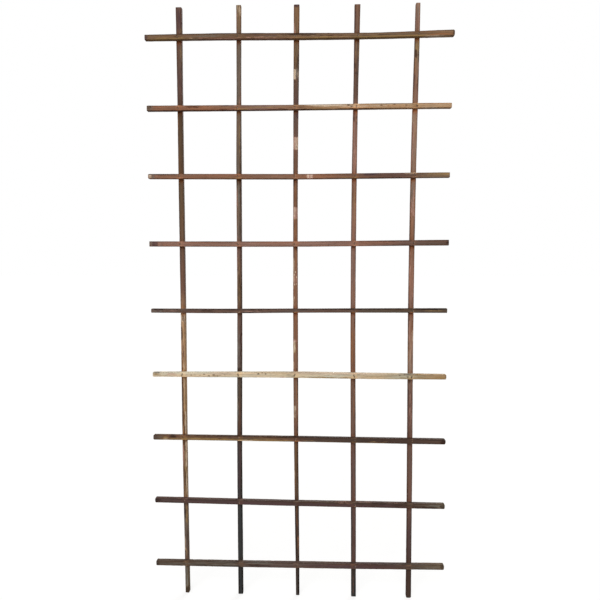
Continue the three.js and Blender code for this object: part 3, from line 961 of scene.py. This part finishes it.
def finish_values(name, seed, points, along, middle, across, out, share):
    """For every point: grain directions, crossings, darkened corners with painted shade on the side faces,
    ends, the crossings' painted light and shade, and stains.
    """
    count = crossings_at(name, along)
    ragged = 0.5 * chance((seed, 18), along, 14 * mm, 44, around)
    weights = mark_weights(name, count, share, out, ragged)
    rust_and_glint_marks(name, weights, along, across + middle[:, None])
    near, tint = crossing_light_and_shade(name, along, share, out)
    # Painted shade: faces that look across the trellis get less light, so they are darkened at 0.45, and
    # corners up to 1.
    edge = np.tile(np.maximum(edge_nearness, 0.45 * np.cos(facing) ** 2), (len(along), 1))
    if name in rungs:
        # Near a crossing a rung's darkening is mostly lifted, which paints a highlight there.
        edge *= 1 - 0.8 * near[:, None]
    if name == sapwood_rung:
        edge *= sapwood_corner_and_side_shade
    total = len(points)
    weights = with_ends(weights, total, 0)
    return {
        "grain": points,
        "crossings": np.interp(points[:, 0], along, count),
        "edge": with_ends(edge, total, 0),
        "sawn_end": with_ends(np.zeros(across.shape), total, 1),
        "tint": with_ends(tint, total, 1),
        **{layer: weights[:, 3 * k:3 * k + 3] for k, layer in enumerate(stain_layers)},
    }


def write_on_points(mesh, values_of):
    """Writes one number or three on each point of a mesh, under each name."""
    for name, values in values_of.items():
        kind, field = ("FLOAT", "value") if values.ndim == 1 else ("FLOAT_VECTOR", "vector")
        layer = mesh.attributes.new(name, kind, "POINT")
        layer.data.foreach_set(field, np.ascontiguousarray(values, np.float32).ravel())


# %% Join it all into closed sticks
def build_stick(name, seed):
    """A rough sawn stick in place of the plain one, with what its finish needs on each point."""
    along = stations(name)
    middle, half = (smoothed(name, key, along) for key in ("middle", "half"))
    across, out = outline(half, corner_radii(seed, along))
    share = across / half[:, None]
    rough = roughness_of(seed, along, name) + knot_height(name, along, across, out)
    rough -= dent(name, along, across + middle[:, None], out)
    across = across + rough * np.cos(facing)[None]
    out = out + rough * np.sin(facing)[None]
    wear_ends(name, along, across, out)

    points = stick_points(seed, along, across, out)
    faces = tube_faces(len(along), round_points)
    for last_end, rows in enumerate(rows_of_ends(len(along))):
        faces += end_faces(rows, len(points) - 2 + last_end, last_end)
    placed = into_frame(name, points, np.interp(points[:, 0], along, middle))
    mesh = smooth_mesh(name + "_sawn", placed.tolist(), faces)
    write_on_points(mesh, finish_values(name, seed, points, along, middle, across, out, share))
    fold_map(mesh, points, faces, len(along))
    return mesh


meshes = {name: build_stick(name, 100 + k) for k, name in enumerate(uprights + rungs)}
print("faces:", sum(len(m.polygons) for m in meshes.values()))

# %% [markdown]
# ## The finish of redwood
#
# Redwood has straight grain. On a sawn face it shows as long streaks, where the saw cut through
# the year rings, and on the end as arcs. One ring pattern through the whole stick gives both: the
# distance from a line beside the stick, in even steps, wobbled by noise. Over it lie fine fibres,
# saw marks, dirt, and painted light and shade at the crossings and on the side faces.
#
# It is written once, as a node group, and each stick hands it a tone and a place to start.

# %% Noise and ramps
def attribute(tree, name):
    """What the mesh holds on its points under this name."""
    return add_node(tree, "ShaderNodeAttribute", attribute_name=name).outputs


def stretched_noise(tree, place, along, across, detail=2.0):
    """Noise drawn out along the grain: repeats per metre along the stick and across it."""
    scaled = add_node(tree, "ShaderNodeVectorMath", operation="MULTIPLY")
    feed(tree, scaled, i0=place, i1=(along, across, across))
    noise = add_node(tree, "ShaderNodeTexNoise")
    feed(tree, noise, Vector=scaled.outputs[0], Scale=1.0, Detail=detail, Roughness=0.55)
    return noise.outputs


def centred(tree, value, strength):
    """Noise about a half turned into a number about nought, times a strength."""
    return times(tree, less(tree, value, 0.5), strength)


def colour_ramp(tree, value, stops):
    """A ramp through (place, colour) stops."""
    made = add_node(tree, "ShaderNodeValToRGB")
    feed(tree, made, Fac=value)
    bar = made.color_ramp.elements
    while len(bar) < len(stops):
        bar.new(0.5)
    for element, (place, shade) in zip(bar, stops):
        element.position = place
        element.color = shade
    return made.outputs["Color"]


def ramp(tree, value, *stops):
    """A ramp of grey through (place, level) stops."""
    return colour_ramp(tree, value, [(place, (level, level, level, 1)) for place, level in stops])


# %% Colours
def colour(written):
    """A colour written as six hex digits, as the linear numbers that Blender's nodes want."""
    values = [int(written[k:k + 2], 16) / 255 for k in (0, 2, 4)]
    return tuple((v / 12.92 if v < 0.04045 else ((v + 0.055) / 1.055) ** 2.4) for v in values) + (1,)


def mix_colour(tree, share, first, second, how="MIX"):
    """One colour laid over another."""
    made = add_node(tree, "ShaderNodeMix", data_type="RGBA", blend_type=how)
    feed(tree, made, i0=share, i6=first, i7=second)
    return made.outputs[2]


def multiplied(tree, first, second):
    """Two colours multiplied, as a glaze darkens paint."""
    return mix_colour(tree, 1.0, first, second, how="MULTIPLY")


def glazed(tree, share, tone, *levels):
    """A tone multiplied by three levels, as far as a share says."""
    return mix_colour(tree, share, tone, multiplied(tree, tone, (*levels, 1)))


# %% Year rings, saw marks and torn fibres
def year_rings(tree, place):
    """Rings round a line beside the stick, wobbled a little, dark in late wood."""
    wobble = stretched_noise(tree, place, 5, 50, 1)["Color"]
    offset = add_node(tree, "ShaderNodeVectorMath", operation="MULTIPLY_ADD")
    feed(tree, offset, i0=wobble, i1=(0.0, 0.006, 0.006), i2=place)
    rings = add_node(tree, "ShaderNodeTexWave", wave_type="RINGS", rings_direction="X", wave_profile="SAW")
    feed(tree, rings, Vector=offset.outputs[0], Scale=150.0, Distortion=0.6, Detail=1.0, Detail_Scale=1.0)
    return ramp(tree, rings.outputs["Fac"], (0.0, 0.0), (0.62, 0.25), (0.9, 1.0), (1.0, 0.0))


def saw_marks(tree, place, clouds):
    """Strokes across the stick, a little aslant, stronger in some places than in others."""
    aslant = add_node(tree, "ShaderNodeVectorMath", operation="DOT_PRODUCT")
    feed(tree, aslant, i0=place, i1=(1.0, 0.16, 0.10))
    stroke = add_node(tree, "ShaderNodeCombineXYZ")
    feed(tree, stroke, X=aslant.outputs["Value"])
    teeth = add_node(tree, "ShaderNodeTexWave", wave_type="BANDS", bands_direction="X")
    feed(tree, teeth, Vector=stroke.outputs[0], Scale=150.0, Distortion=3.5, Detail=2.0, Detail_Scale=1.5)
    return times(tree, teeth.outputs["Fac"], ramp(tree, clouds, (0.46, 0.0), (0.66, 1.0)))


def torn_fibres(tree, place, lengthwise):
    """Patches where the teeth pulled fibres out instead of cutting them."""
    pulled = stretched_noise(tree, place, 85, 430)[0]
    return times(tree, ramp(tree, pulled, (0.60, 0.0), (0.68, 1.0)), lengthwise)


# %% Light, stains and relief
def brightness(tree, noise, late, saw, torn, sawn_end, lengthwise):
    """How light the wood is at each point, with all that shows in it."""
    hairs = ramp(tree, noise["fuzz"], (0.62, 0.0), (0.72, 1.0))
    ring_shade = plus(tree, 0.22, times(tree, sawn_end, 0.3))
    light = plus(tree, 1.07, centred(tree, noise["streaks"], 1.0), centred(tree, noise["bands"], 0.6))
    light = plus(tree, light, times(tree, centred(tree, noise["fibres"], 0.55), lengthwise))
    light = less(tree, plus(tree, light, centred(tree, noise["clouds"], 0.5)), times(tree, late, ring_shade))
    light = plus(tree, light, times(tree, saw, -0.06), times(tree, torn, -0.2), times(tree, hairs, 0.16))
    shade = add_node(tree, "ShaderNodeCombineXYZ")
    feed(tree, shade, X=light, Y=light, Z=light)
    return shade.outputs[0]


# In the order in which they are laid, one over another. Dark and iron come after them.
stain_colours = {
    "gold": "93764e", "red": "6c4a3e", "grey": "6f6a62", "amber": "8f6242", "plum": "4f3a3c",
    "pink": "b08677", "pale": "cfb9a0",
}


def stain_weights(tree):
    """The weight of each stain, from the layers that carry them by threes."""
    found = {}
    for k, layer in enumerate(stain_layers):
        parts = add_node(tree, "ShaderNodeSeparateXYZ")
        feed(tree, parts, Vector=attribute(tree, layer)["Vector"])
        found.update(zip(stain_names[3 * k:3 * k + 3], parts.outputs))
    return found


def stained(tree, tone, shade, noise):
    """The wood's tone with every stain laid on, its outline frayed along the grain."""
    fray = plus(tree, centred(tree, noise["fibres"], 2.0), centred(tree, noise["streaks"], 1.5))
    weights = stain_weights(tree)
    stains = {stain: multiplied(tree, colour(written), shade) for stain, written in stain_colours.items()}
    stains["dark"] = multiplied(tree, tone, (0.34, 0.29, 0.27, 1))
    for stain, laid in stains.items():
        inside = math_node(tree, "MINIMUM", times(tree, weights[stain], 4.0), 1.0)
        frayed = plus(tree, weights[stain], times(tree, fray, inside))
        tone = mix_colour(tree, ramp(tree, frayed, (0.24, 0.0), (0.66, 1.0)), tone, laid)
    soaked = math_node(tree, "MULTIPLY", weights["iron"], plus(tree, 0.85, fray), clamp=True)
    return mix_colour(tree, soaked, tone, colour("2c2624"))


def relief(tree, noise, late, saw, torn):
    """How high the surface stands, for the bump."""
    heights = ((noise["streaks"], 0.5), (late, 0.2), (noise["fuzz"], 0.7), (saw, 0.3), (torn, -0.6))
    return plus(tree, times(tree, noise["fibres"], 0.9), *(times(tree, part, by) for part, by in heights))


# %% Dirt and painted shade
def weathered_and_shaded(tree, tone, place, noise, specks, sawn_end):
    """A tone with the painted light and shade of the crossings and side faces, and the dirt that years
    outdoors add.
    """
    # Where two sticks cross, painted light and shade: a warm lift and painted shadow under a rung, painted
    # shade over it, and a warmer rung face with a painted highlight at its edges.
    tone = multiplied(tree, tone, attribute(tree, "tint")["Color"])

    # Dark specks of pitch and dirt.
    grit = ramp(tree, stretched_noise(tree, place, 300, 900)[0], (0.70, 0.0), (0.76, 1.0))
    tone = mix_colour(tree, times(tree, grit, specks), tone, colour("3a2c22"))

    # Corners are darkened in patches, and the side faces with them as painted shade. End grain drinks in
    # dirt.
    worn = plus(tree, noise["fibres"], centred(tree, noise["clouds"], 0.8))
    corner = times(tree, attribute(tree, "edge")["Fac"], ramp(tree, worn, (0.36, 0.35), (0.6, 1.0)))
    tone = glazed(tree, times(tree, corner, 0.9), tone, 0.42, 0.32, 0.23)
    return glazed(tree, times(tree, sawn_end, 0.75), tone, 0.62, 0.56, 0.52)


# %% The sawn redwood group
# Repeats per metre along the grain and across it, and detail, of noise at five sizes.
grain_sizes = {
    "clouds": (16, 55, 2), "bands": (4, 130, 1), "streaks": (9, 330, 3),
    "fibres": (55, 1300, 2), "fuzz": (260, 2600, 2),
}


def redwood_group():
    """A node group: tone and starting place in, colour, roughness and relief out."""
    tree = bpy.data.node_groups.new("sawn_redwood", "ShaderNodeTree")
    for name, kind in (("Tone", "Color"), ("Start", "Vector"), ("Specks", "Float")):
        tree.interface.new_socket(name, in_out="INPUT", socket_type=f"NodeSocket{kind}")
    for name, kind in (("Color", "Color"), ("Roughness", "Float"), ("Relief", "Float")):
        tree.interface.new_socket(name, in_out="OUTPUT", socket_type=f"NodeSocket{kind}")
    given = add_node(tree, "NodeGroupInput").outputs
    shifted = add_node(tree, "ShaderNodeVectorMath", operation="ADD")
    feed(tree, shifted, i0=attribute(tree, "grain")["Vector"], i1=given["Start"])
    place = shifted.outputs[0]
    noise = {size: stretched_noise(tree, place, *how)[0] for size, how in grain_sizes.items()}
    sawn_end = attribute(tree, "sawn_end")["Fac"]
    lengthwise = less(tree, 1.0, times(tree, sawn_end, 0.75))
    late = year_rings(tree, place)
    saw = saw_marks(tree, place, noise["clouds"])
    torn = torn_fibres(tree, place, lengthwise)
    shade = brightness(tree, noise, late, saw, torn, sawn_end, lengthwise)
    tone = multiplied(tree, given["Tone"], shade)

    # Warm and cool drift, as heartwood never has one hue.
    drift = ramp(tree, stretched_noise(tree, place, 7, 120)[0], (0.35, 0.0), (0.65, 1.0))
    warm = multiplied(tree, tone, (1.12, 0.98, 0.88, 1))
    cool = multiplied(tree, tone, (0.93, 1.0, 1.06, 1))
    tone = stained(tree, mix_colour(tree, drift, cool, warm), shade, noise)
    tone = weathered_and_shaded(tree, tone, place, noise, given["Specks"], sawn_end)

    rough = plus(tree, 0.84, centred(tree, noise["fibres"], 0.25))
    rough = math_node(tree, "SUBTRACT", rough, times(tree, late, 0.10), clamp=True)
    height = relief(tree, noise, late, saw, torn)
    feed(tree, add_node(tree, "NodeGroupOutput"), Color=tone, Roughness=rough, Relief=height)
    return tree


redwood = redwood_group()
print("the redwood group has", len(redwood.nodes), "nodes")

# %% [markdown]
# ## The tones of each stick
#
# Redwood sticks from one bundle run from cream sapwood to nearly black heartwood, and they change
# along their length. A short palette of named tones covers them all. Each stick then lists which
# tone it has at which crossing count, and a ramp blends from one to the next.

# %% The palette, and where each stick has which tone
tones = {
    "cream": "cbc0a8", "cream tan": "c3b497", "sap gold": "ac916f", "pale tan": "b4926f",
    "gold tan": "937759", "pinkish tan": "9c7e6b", "rose brown": "8e6c5e", "red brown": "89644f",
    "chestnut": "7d5c49", "tan brown": "7f634a", "olive tan": "806a55", "olive brown": "745c47",
    "grey olive": "716255", "umber": "654f3b", "mauve brown": "6f554a", "dark umber": "5c4532",
    "walnut": "614c41", "plum charcoal": "625048", "olive charcoal": "584b40", "plum": "54413c",
    "cocoa": "4e3d34", "burnt umber": "46352c", "charcoal": "443c3a", "near black": "343433",
    "peat": "3b322c", "moss grey": "6b5f4e",
}
stick_tones = {
    "rung_1": (
        "0 tan brown, 0.8 tan brown, 1.3 olive brown, 2.2 olive brown, 3.5 tan brown, 5.9 tan brown"
    ),
    "rung_2": (
        "0 grey olive, 0.3 red brown, 1.6 red brown, 2.5 rose brown, 3.35 gold tan, 3.75 pale tan, "
        "6 pale tan"
    ),
    "rung_3": (
        "0 chestnut, 0.8 red brown, 3.3 red brown, 3.8 chestnut, 4.3 mauve brown, 4.8 mauve brown, "
        "5.4 olive tan, 6 olive tan"
    ),
    "rung_4": "0 mauve brown, 0.5 rose brown, 4.2 rose brown, 4.8 mauve brown, 5.4 walnut, 6 walnut",
    "rung_5": (
        "0 plum charcoal, 1.3 plum charcoal, 3.8 plum charcoal, 4.3 olive charcoal, 6 olive charcoal"
    ),
    "rung_6": (
        "0 cream, 2.3 cream, 2.9 cream tan, 3.5 cream, 4.3 cream tan, 4.9 cream tan, 5.4 sap gold, "
        "6 sap gold"
    ),
    "rung_7": (
        "0 olive charcoal, 0.5 olive brown, 1.6 umber, 2.5 umber, 3 cocoa, 3.9 cocoa, 4.5 burnt umber, "
        "5 burnt umber, 5.7 cocoa"
    ),
    "rung_8": "0 plum, 0.6 plum, 2.5 plum, 3.5 cocoa, 4.8 burnt umber, 5.5 olive charcoal, 6 moss grey",
    "rung_9": (
        "0 olive charcoal, 1.8 olive charcoal, 2.4 plum charcoal, 3.6 plum charcoal, 4.3 plum, "
        "5.2 olive charcoal, 6 moss grey"
    ),
    "upright_1": (
        "0 mauve brown, 1.3 walnut, 1.75 mauve brown, 2.1 dark umber, 3.5 umber, 4.7 mauve brown, "
        "5.3 pale tan, 6.5 pale tan, 6.8 gold tan, 7.15 tan brown, 7.9 tan brown, 8.3 grey olive, "
        "9 plum charcoal, 9.3 moss grey, 10 moss grey"
    ),
    "upright_2": (
        "0 gold tan, 0.6 tan brown, 1.3 grey olive, 3.75 grey olive, 4.1 mauve brown, 4.7 umber, "
        "5.2 mauve brown, 5.8 plum charcoal, 6.2 olive charcoal, 6.8 cocoa, 7.4 charcoal, "
        "8.2 near black, 10 near black"
    ),
    "upright_3": (
        "0 tan brown, 1.2 olive brown, 1.7 walnut, 2.2 mauve brown, 3.3 chestnut, 5.5 red brown, "
        "6.6 chestnut, 7.2 umber, 8.3 burnt umber, 9.2 peat, 10 peat"
    ),
    "upright_4": (
        "0 chestnut, 1.5 walnut, 1.85 walnut, 2.05 rose brown, 2.9 rose brown, 3.25 chestnut, "
        "3.6 rose brown, 4.6 rose brown, 5.5 chestnut, 7 mauve brown, 8.2 plum, 8.9 plum, 9.15 peat, "
        "10 near black"
    ),
    "upright_5": (
        "0 pinkish tan, 0.6 rose brown, 1.2 olive tan, 1.7 red brown, 2.2 pinkish tan, 4 chestnut, "
        "4.8 rose brown, 5.25 chestnut, 5.7 pinkish tan, 6.3 mauve brown, 7.6 mauve brown, 8.5 plum, "
        "9.2 burnt umber, 10 burnt umber"
    ),
}


# %% A finish for each stick
def stick_finish(name, start, specks):
    """The redwood group with this stick's tones, and the relief as a bump."""
    finish = bpy.data.materials.new(name + "_redwood")
    finish.use_nodes = True
    tree = finish.node_tree
    spans = len(crossing_places(name)) - 1
    stops = []
    for stop in stick_tones[name].split(", "):
        place, tone = stop.split(" ", 1)
        stops.append((float(place) / spans, colour(tones[tone])))
    along = math_node(tree, "DIVIDE", attribute(tree, "crossings")["Fac"], spans)
    wood = add_node(tree, "ShaderNodeGroup", node_tree=redwood)
    feed(tree, wood, Tone=colour_ramp(tree, along, stops), Start=start, Specks=specks)
    bump = add_node(tree, "ShaderNodeBump")
    feed(tree, bump, Height=wood.outputs["Relief"], Distance=0.0005, Strength=0.85)
    shader = tree.nodes["Principled BSDF"]
    feed(tree, shader, Base_Color=wood.outputs["Color"], Roughness=wood.outputs["Roughness"])
    feed(tree, shader, Normal=bump.outputs["Normal"], Specular_IOR_Level=0.12)
    return finish


# %% Dress the sticks
speckled = {"rung_2": 0.5, "rung_6": 0.9}
few_specks = 0.15
dice = np.random.default_rng(7)
for name, mesh in meshes.items():
    start = (dice.uniform(0, 5), dice.uniform(0.02, 0.05), dice.uniform(-0.02, 0.02))
    mesh.materials.append(stick_finish(name, start, speckled.get(name, few_specks)))
    stick = bpy.data.objects.new(name + "_sawn", mesh)
    scene.collection.objects.link(stick)
    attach(stick, "root")
    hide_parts(name)
print(len(meshes), "sticks dressed")

# %% [markdown]
# ## The staples
#
# A staple is one piece of flattened wire, bent twice, and its two legs narrow at their tips. The
# crown is all that shows. It could be a curve with a round bevel, but staple wire is flat, so the
# section is drawn as a flat oval and carried round the two bends.

# %% Draw the wire's path and section
wire_width, wire_thickness, bend = 1.25 * mm, 1.05 * mm, 0.9 * mm
leg_end_width = 0.45


def wire_path(reach, leg):
    """Up one leg, round, along the crown, round and down, in the staple's own plane."""
    surface = wire_thickness / 2
    half = [(-reach, leg), (-reach, leg - 2 * mm), (-reach, bend + surface + 4 * mm)]
    for turn in np.linspace(0, 90, 7):
        a = math.radians(turn)
        half.append((-reach + bend * (1 - math.cos(a)), surface + bend * (1 - math.sin(a))))
    half += [(-reach * 0.4, surface + 0.03 * mm), (0, surface + 0.06 * mm)]
    return np.array(half + [(-x, y) for x, y in half[-2::-1]])


def flat_oval(steps=16):
    """The section of flattened wire, as points across the thin way and along the wide way."""
    squareness = 0.55
    ring = []
    for turn in np.linspace(0, 2 * math.pi, steps, endpoint=False):
        c, s = (math.copysign(abs(v) ** squareness, v) for v in (math.cos(turn), math.sin(turn)))
        ring.append((c * wire_thickness / 2, s * wire_width / 2))
    return np.array(ring)


# %% Bend the wire
def staple_mesh(name):
    """One staple as a bent flat wire, in the place of the plain one."""
    first, last, front = crowns[name]
    low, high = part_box(name)
    middle, span = (first + last) / 2, last - first
    width = np.linalg.norm(span)
    way = span / width
    side = np.array([-way[1], way[0]])
    path = wire_path(width / 2 - wire_thickness / 2, high.y - low.y)
    heading = np.gradient(path, axis=0)
    heading /= np.linalg.norm(heading, axis=1)[:, None]
    outward = np.stack([-heading[:, 1], heading[:, 0]], 1)
    sizes = [leg_end_width, *[1] * (len(path) - 2), leg_end_width]
    section = flat_oval()
    points = []
    for spot, normal, size in zip(path, outward, sizes):
        for out, aside in section * size:
            flat, depth = spot + normal * out
            x, z = middle + way * flat + side * aside
            points.append((x, front + depth, z))
    faces = tube_faces(len(path), len(section))
    last_row = len(points) - len(section)
    faces.append(tuple(range(len(section)))[::-1])
    faces.append(tuple(range(last_row, len(points))))
    return smooth_mesh(name + "_wire", points, faces)


# %% [markdown]
# Galvanised wire is bright only when new. After a season the zinc is dull grey, and rust comes
# through where the gun's hammer struck it.

# %% Dull zinc with rust
def wire_finish():
    """Dull zinc that rust has started to break through."""
    finish = bpy.data.materials.new("staple_zinc")
    finish.use_nodes = True
    tree = finish.node_tree
    place = add_node(tree, "ShaderNodeTexCoord").outputs["Object"]
    blotch = add_node(tree, "ShaderNodeTexNoise")
    feed(tree, blotch, Vector=place, Scale=900.0, Detail=3.0, Roughness=0.6)
    rust = ramp(tree, blotch.outputs[0], (0.46, 0.0), (0.58, 1.0))
    zinc = mix_colour(tree, rust, colour("6a6662"), colour("3c2a20"))
    grain = add_node(tree, "ShaderNodeTexNoise")
    feed(tree, grain, Vector=place, Scale=4000.0, Detail=2.0)
    bump = add_node(tree, "ShaderNodeBump")
    feed(tree, bump, Height=grain.outputs[0], Distance=0.00005, Strength=0.5)
    rough = plus(tree, 0.38, times(tree, rust, 0.4))
    shader = tree.nodes["Principled BSDF"]
    feed(tree, shader, Base_Color=zinc, Roughness=rough, Normal=bump.outputs["Normal"], Metallic=0.7)
    return finish


zinc_wire = wire_finish()
for name in staples:
    mesh = staple_mesh(name)
    mesh.materials.append(zinc_wire)
    wire = bpy.data.objects.new(name + "_wire", mesh)
    scene.collection.objects.link(wire)
    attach(wire, "root")
    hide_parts(name)
print(len(staples), "staples bent")
